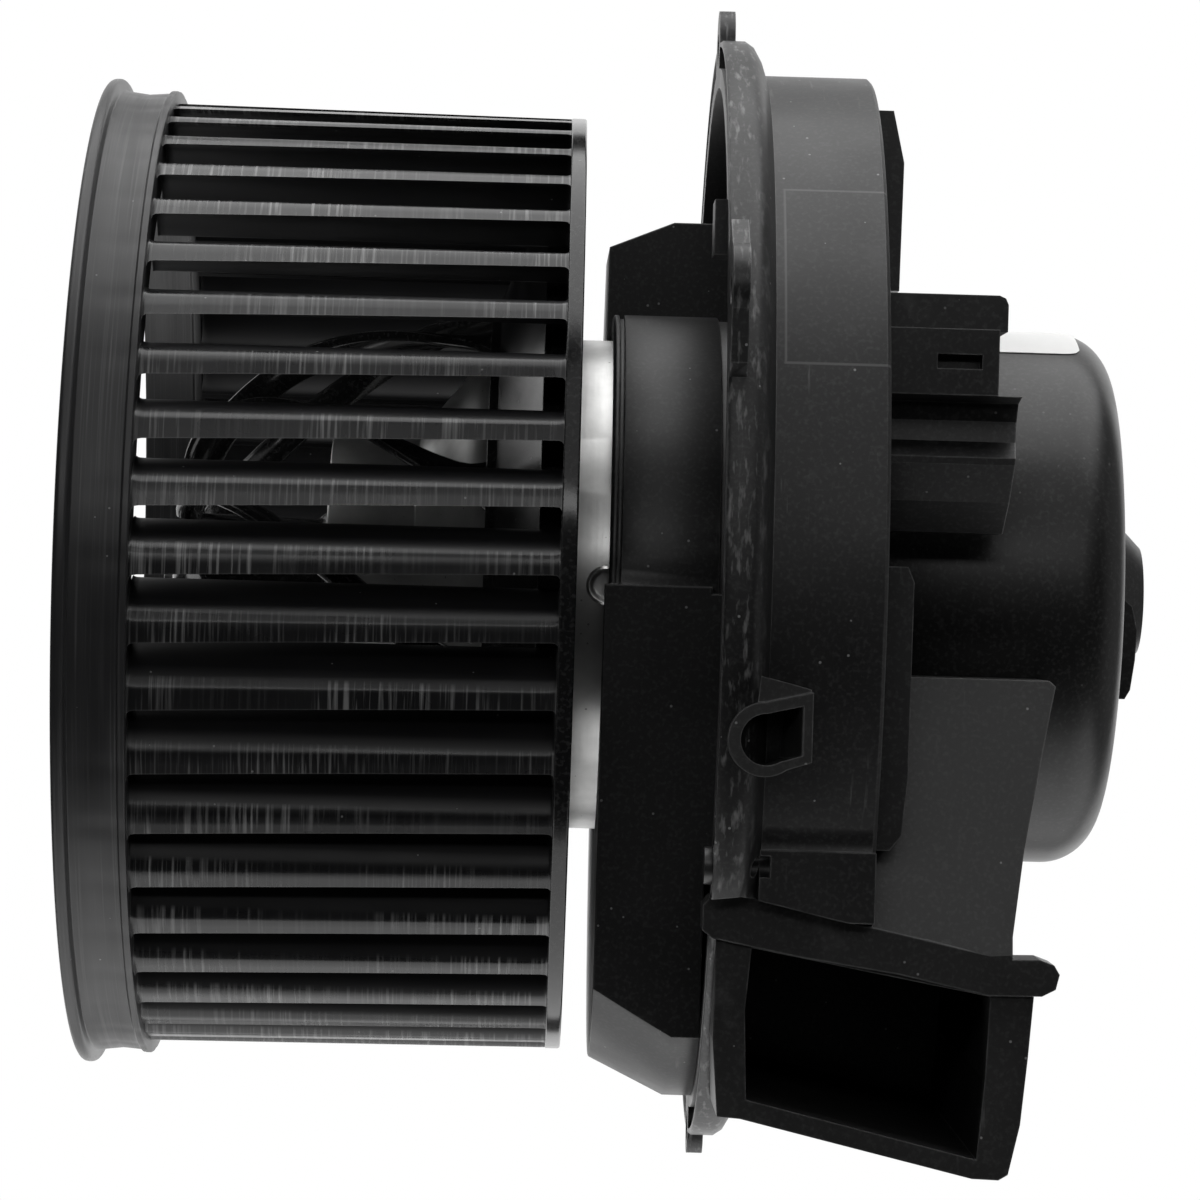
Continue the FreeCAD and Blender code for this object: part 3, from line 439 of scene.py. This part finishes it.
def rounded(corners):
    """Corners are (x, radius, rounding); each rounding becomes a short arc."""
    steps = 4
    points = []
    count = len(corners)
    for i, (x, r, rounding) in enumerate(corners):
        here = Vector((x, r))
        if rounding == 0:
            points.append(here)
            continue
        before = (Vector(corners[i - 1][:2]) - here).normalized()
        after = (Vector(corners[(i + 1) % count][:2]) - here).normalized()
        half = before.angle(after) / 2
        reach = rounding / math.tan(half)
        centre = here + (before + after).normalized() * rounding / math.sin(half)
        start, end = here + before * reach - centre, here + after * reach - centre
        sweep = start.angle_signed(end)
        for step in range(steps + 1):
            turned = Matrix.Rotation(-sweep * step / steps, 2) @ start
            points.append(centre + turned)
    return points


def lathe(shape, profile, segments=192, wobble=None):
    """Turn a closed (x, radius) profile about the shaft; wobble shifts the radius by angle."""
    rings = []
    for step in range(segments):
        angle = TURN * step / segments
        ring = []
        for x, radius in profile:
            shift = wobble(x, radius, angle) if wobble else 0.0
            ring.append(shape.verts.new(around(x, radius + shift, angle)))
        rings.append(ring)
    join_rings(shape, rings, closed_section=True, closed_path=True)


def join_rings(shape, rings, closed_section, closed_path):
    """Fill quads between neighbouring rings of vertices."""
    pairs = list(zip(rings, rings[1:]))
    if closed_path:
        pairs.append((rings[-1], rings[0]))
    for first, second in pairs:
        count = len(first)
        last = count if closed_section else count - 1
        for i in range(last):
            j = (i + 1) % count
            shape.faces.new((first[i], first[j], second[j], second[i]))


def cap_ends(shape, rings):
    shape.faces.new(list(reversed(rings[0])))
    shape.faces.new(rings[-1])


def smoothstep(t):
    t = max(0.0, min(1.0, t))
    return t * t * (3 - 2 * t)


# ---------------------------------------------------------------- wheel

BLADES = 47
BLADE_FRONT, BLADE_BACK = -81.8, -22.2
BLADE_ROOT, BLADE_BEND, BLADE_HALF = 62.0, 9.75, 0.7
TIP_FRONT, TIP_BACK = 71.5, 70.9
PHASE = math.radians(7.35)


def blade_outline(tip, half):
    """Blade section as (offset towards -Y at the top, radius), drawn round its two arcs."""
    centre = Vector((BLADE_BEND, BLADE_ROOT))
    reach = centre.length
    lean = math.atan2(BLADE_ROOT, BLADE_BEND)
    steps, first_share, used_share = 8, 0.035, 0.93

    def on_arc(radius, angle):
        return centre + Vector((-radius * math.cos(angle), radius * math.sin(angle)))

    sides = []
    for radius in (BLADE_BEND - half, BLADE_BEND + half):
        spread = (radius ** 2 + reach ** 2 - tip ** 2) / (2 * radius * reach)
        sweep = math.acos(max(-1.0, spread)) - lean
        shares = [first_share + used_share * step / steps for step in range(steps + 1)]
        side = [on_arc(radius, sweep * share) for share in shares]
        sides.append((side, (on_arc(radius, 0.0), on_arc(radius, sweep))))
    (inner, inner_ends), (outer, outer_ends) = sides
    root_face = [outer_ends[0].lerp(inner_ends[0], t) for t in (0.25, 0.75)]
    tip_face = [inner_ends[1].lerp(outer_ends[1], t) for t in (0.1, 0.5, 0.9)]
    return root_face + inner + tip_face + list(reversed(outer))


def make_blades(material):
    """Forward-curved blades that thicken towards both ends, each turned a hair off its pitch."""
    shape = bmesh.new()
    thickened_ends = ((0.0, 1.35), (0.2, 1.15), (0.5, 1.04), (1.2, 1.0))
    middle = (-67.0, -52.0, -37.0)
    stations = [(BLADE_FRONT + x, factor) for x, factor in thickened_ends]
    stations += [(x, 1.0) for x in middle]
    stations += [(BLADE_BACK - x, factor) for x, factor in reversed(thickened_ends)]
    length = BLADE_BACK - BLADE_FRONT
    draw, pitch_error = random.Random(5), 0.0006
    for number in range(BLADES):
        turn = PHASE + TURN * number / BLADES + draw.uniform(-pitch_error, pitch_error)
        rings = []
        for x, factor in stations:
            share = (x - BLADE_FRONT) / length
            tip = TIP_FRONT + (TIP_BACK - TIP_FRONT) * share
            ring = []
            for offset, radius in blade_outline(tip, BLADE_HALF * factor):
                angle = turn + math.atan2(offset, radius)
                ring.append(shape.verts.new(around(x, math.hypot(offset, radius), angle)))
            rings.append(ring)
        join_rings(shape, rings, closed_section=True, closed_path=False)
        cap_ends(shape, rings)
    piece("wheel_blades", shape, "rotor", material, ["impeller_blades"])


def make_rim(material):
    """Inlet ring with two lips, very slightly waisted, with sink marks at the blade pitch."""
    profile = rounded([
        (-92.0, 71.6, 0.5), (-92.0, 75.0, 0.8), (-90.2, 75.0, 0.7), (-89.9, 73.2, 0.3),
        (-86.2, 72.75, 0), (-83.0, 73.0, 0.2), (-82.7, 73.4, 0.15), (-81.8, 73.4, 0.25),
        (-81.8, 65.0, 0.3), (-83.4, 65.0, 0.5), (-83.6, 70.9, 0.8),
    ])
    inside_radius, lip_back_x, depth, lag = 72.0, -89.5, 0.09, 0.09

    def sink(x, radius, angle):
        if radius < inside_radius or x < lip_back_x:
            return 0.0
        wave = math.cos((angle - PHASE - lag) * BLADES)
        return -depth * max(0.0, wave) ** 2

    shape = bmesh.new()
    lathe(shape, profile, segments=BLADES * 10, wobble=sink)
    piece("wheel_rim", shape, "rotor", material, ["impeller_rim"])


SPOKES = 9
SPOKE_SWEEP, SPOKE_TWIST = math.radians(72.0), math.radians(58.0)
SPOKE_HALF_WIDTH, SPOKE_HALF_WALL = 2.5, 1.05
DOME = (
    (-78.2, 9.0), (-78.4, 16.0), (-74.5, 24.0), (-65.0, 31.2), (-53.0, 36.0), (-42.0, 39.4), (-31.5, 41.4),
)


def dome_point(t):
    """Middle of the dome's wall, from the boss (0) to the skirt (1), eased between the set points."""
    place = t * (len(DOME) - 1)
    i = min(int(place), len(DOME) - 2)
    f = place - i
    p = [Vector(DOME[max(0, min(len(DOME) - 1, i + k))]) for k in (-1, 0, 1, 2)]
    return 0.5 * ((2 * p[1]) + (p[2] - p[0]) * f + (2 * p[0] - 5 * p[1] + 4 * p[2] - p[3]) * f ** 2
                  + (3 * p[1] - p[0] - 3 * p[2] + p[3]) * f ** 3)


def spoke_ring(shape, base, t):
    """One section of a spoke: t runs from the boss (0) to the skirt (1), base is the spoke's own angle."""
    sides, nudge, least_radius = 12, 0.01, 6.0
    centre = dome_point(t)
    ahead, behind = dome_point(min(1.0, t + nudge)), dome_point(max(0.0, t - nudge))
    along = (ahead - behind).normalized()
    outward = Vector((-along.y, along.x))
    if outward.y < 0:
        outward = -outward
    sweep = base + SPOKE_SWEEP * smoothstep(t * 0.9 + 0.05)
    twist = SPOKE_TWIST * math.sin(math.pi * t)
    boss_end, skirt_end, widening = 0.12, 0.1, 0.9
    flare = 1.0 + widening * smoothstep((boss_end - t) / boss_end)
    flare += widening * smoothstep((t - 1.0 + skirt_end) / skirt_end)
    half_width = SPOKE_HALF_WIDTH * flare
    ring = []
    for side in range(sides):
        a = TURN * side / sides
        across = half_width * math.copysign(abs(math.cos(a)) ** 0.55, math.cos(a))
        up = SPOKE_HALF_WALL * math.copysign(abs(math.sin(a)) ** 0.7, math.sin(a))
        wide = across * math.cos(twist) - up * math.sin(twist)
        high = across * math.sin(twist) + up * math.cos(twist)
        spot = centre + outward * high
        ring.append(shape.verts.new(around(spot.x, spot.y, sweep + wide / max(spot.y, least_radius))))
    return ring


def make_hub(material):
    """Back ring, cone web and shaft boss, with swept spokes that twist as they climb to the boss."""
    shape = bmesh.new()
    lathe(shape, rounded([
        (-25.3, 60.0, 0.3), (-22.2, 60.2, 0.2), (-22.2, 71.0, 0.25), (-19.9, 71.0, 0.35),
        (-19.9, 61.0, 0.5), (-29.4, 40.6, 1.0), (-33.2, 40.2, 0.5), (-33.2, 42.6, 0.6), (-31.8, 43.6, 0.8),
        (-25.3, 58.2, 0.3),
    ]))
    lathe(shape, rounded([
        (-80.0, 4.02, 0.3), (-80.0, 8.4, 0.5), (-79.5, 10.0, 0.4), (-77.4, 10.0, 0.4), (-76.8, 9.2, 0.4),
        (-58.0, 8.9, 0.5), (-58.0, 4.02, 0.3),
    ]), segments=96)
    steps = 40
    for spoke in range(SPOKES):
        rings = [spoke_ring(shape, TURN * spoke / SPOKES, step / steps) for step in range(steps + 1)]
        join_rings(shape, rings, closed_section=True, closed_path=False)
        cap_ends(shape, rings)
    piece("wheel_hub", shape, "rotor", material, ["impeller_hub"], 50.0)


# ---------------------------------------------------------------- small pieces on the motor


def label_skin(shape, lift):
    """One face of the label, this far off the cap, as a grid with rounded corners."""
    rows, columns = 28, 40
    front, back, corner = 36.0, 55.0, 2.6
    near, far = math.radians(26.0), math.radians(-40.0)
    grid = []
    for i in range(rows + 1):
        x = front + (back - front) * i / rows
        gap = min(x - front, back - x)
        cut = corner - math.sqrt(max(0.0, corner ** 2 - max(0.0, corner - gap) ** 2))
        radius = cap_surface(x) + lift
        start, end = near - cut / radius, far + cut / radius
        angles = [start + (end - start) * j / columns for j in range(columns + 1)]
        grid.append([shape.verts.new(around(x, radius, angle)) for angle in angles])
    join_rings(shape, grid, closed_section=False, closed_path=False)
    return grid


def make_label(material):
    """Blank label that wraps the cap and follows its rounded end."""
    shape = bmesh.new()
    underside, top = 0.06, 0.16
    skins = [label_skin(shape, lift) for lift in (underside, top)]
    join_rings(shape, [edge_loop(skin) for skin in skins], closed_section=True, closed_path=False)
    piece("cap_label", shape, "housing", material, ["rating_label"])


def edge_loop(grid):
    """The vertices round the outside of a grid, in order."""
    loop = list(grid[0])
    loop += [row[-1] for row in grid[1:]]
    loop += list(reversed(grid[-1][:-1]))
    loop += [row[0] for row in reversed(grid[1:-1])]
    return loop


def cap_surface(x):
    """Outer radius of the motor cap at this x."""
    start, radius, rounding = 52.6, 40.5, 8.0
    if x <= start:
        return radius
    return radius - rounding + math.sqrt(rounding ** 2 - (x - start) ** 2)


def make_dimple(steel):
    """A low raised ring pressed in the near side of the can, half hidden by the collar's front edge."""
    shape = bmesh.new()
    centre_x, centre_z, seat_radius = -15.4, -0.2, 37.4
    profile = ((1.5, 0.03), (1.95, 0.12), (2.2, 0.34), (2.45, 0.38), (2.7, 0.22), (2.85, 0.02))
    steps = 40
    rings = []
    for radius, lift in profile:
        ring = []
        for step in range(steps):
            a = TURN * step / steps
            x, z = centre_x + radius * math.cos(a), centre_z + radius * math.sin(a)
            y = -math.sqrt(seat_radius ** 2 - z ** 2) - lift
            ring.append(shape.verts.new(Vector((x, y, z)) * MM))
        rings.append(ring)
    join_rings(shape, rings, closed_section=True, closed_path=False)
    shape.faces.new(rings[0])
    shape.faces.new(rings[-1])
    piece("can_dimple", shape, "housing", steel)


# ---------------------------------------------------------------- CAD nodes that stay


def dress(node, material, bevel=0.0):
    """Give a carried-over node its material, welded shading and softened edges."""
    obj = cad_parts[node]
    if not obj.material_slots:
        obj.data.materials.append(material)
    for slot in obj.material_slots:
        slot.material = material
    weld_distance = 0.002 * MM
    weld = obj.modifiers.new("weld", "WELD")
    weld.merge_threshold = weld_distance
    if bevel:
        add_bevel(obj, bevel * MM)


def main():
    make_camera()
    make_stage()
    make_lights()
    black, soot = (0.0055, 0.0055, 0.0057, 1.0), (0.011, 0.011, 0.0115, 1.0)
    wheel = wheel_plastic("wheel_plastic", (0.008, 0.008, 0.0085, 1.0), (0.014, 0.014, 0.015, 1.0))
    spokes = moulded_plastic("spoke_plastic", black, soot, 0.15, dust=0.15, scuffs=0.2, grain=0.2)
    band = band_plastic("band_plastic", (0.018, 0.018, 0.019, 1.0), (0.026, 0.026, 0.027, 1.0))
    housing = moulded_plastic("housing_plastic", black, soot, 0.42, dust=0.5, scuffs=0.8, rim_wear=0.45)
    cap = moulded_plastic("cap_plastic", grey(0.004), grey(0.007), 0.36,
                          dust=0.12, scuffs=0.15, grain=0.25)
    connector = moulded_plastic("connector_plastic", black, soot, 0.36)
    duct = moulded_plastic("duct_plastic", grey(0.012), grey(0.024), 0.40, dust=0.5, scuffs=1.0)
    # Painted light: the clip's plastic is made a lighter grey than the other black parts so that it looks
    # lit.
    clip = moulded_plastic("clip_plastic_painted_lit", grey(0.020), grey(0.036), 0.36, dust=0.4, scuffs=0.9)
    steel = plated_steel("can_steel", (0.74, 0.74, 0.73, 1.0), 0.33)
    bright = worked_metal("spring_steel", grey(0.55), 0.28)
    shaft = worked_metal("shaft_steel", grey(0.66), 0.2)
    screw = worked_metal("screw_steel", grey(0.09), 0.4)
    laminated = worked_metal("lamination_steel", (0.3, 0.3, 0.31, 1.0), 0.45, (3000.0, 40.0, 40.0))
    copper = worked_metal("copper", (0.72, 0.36, 0.2, 1.0), 0.3, (900.0, 900.0, 900.0))
    brass = worked_metal("brass", (0.75, 0.58, 0.3, 1.0), 0.3)
    bronze = worked_metal("bronze", (0.5, 0.36, 0.22, 1.0), 0.5, (1200.0, 1200.0, 1200.0))
    rubber = dull("black_rubber", grey(0.02), 0.75)
    ferrite = dull("ferrite", (0.06, 0.06, 0.062, 1.0), 0.6)
    carbon = dull("carbon", grey(0.04), 0.55)
    phenolic = dull("insulator_plastic", (0.22, 0.10, 0.05, 1.0), 0.5, 400.0)
    nylon = dull("washer_plastic", (0.5, 0.45, 0.35, 1.0), 0.45)
    film = label_film("label_white")

    make_blades(wheel)
    make_rim(band)
    make_hub(spokes)
    make_label(film)
    make_dimple(steel)

    dress("flange_housing", housing, 0.28)
    dress("front_carrier", housing, 0.35)
    dress("cooling_duct", duct, 0.45)
    dress("cable_clip", clip, 0.25)
    dress("motor_cap", cap, 0.3)
    dress("connector_housing", connector, 0.35)
    dress("connector_terminals", brass, 0.1)
    dress("power_leads", brass, 0.1)
    dress("lead_grommet", rubber, 0.2)
    dress("carrier_screws", screw, 0.25)
    dress("motor_can", steel, 0.3)
    dress("can_end_plate", steel, 0.2)
    dress("isolator_rings", rubber, 0.2)
    dress("field_magnets", ferrite, 0.3)
    dress("front_bearing", bronze, 0.2)
    dress("rear_bearing", bronze, 0.2)
    dress("bearing_retainers", bright, 0.1)
    dress("brush_card", phenolic, 0.15)
    dress("brush_holders", brass, 0.1)
    dress("carbon_brushes", carbon, 0.15)
    dress("brush_springs", bright)
    dress("suppression_chokes", copper, 0.3)
    dress("hub_clip", bright, 0.2)
    dress("motor_shaft", shaft, 0.4)
    dress("thrust_washers", nylon, 0.15)
    dress("armature_core", laminated, 0.15)
    dress("armature_windings", copper, 0.3)
    dress("commutator", copper, 0.1)
    dress("commutator_core", phenolic, 0.1)


main()
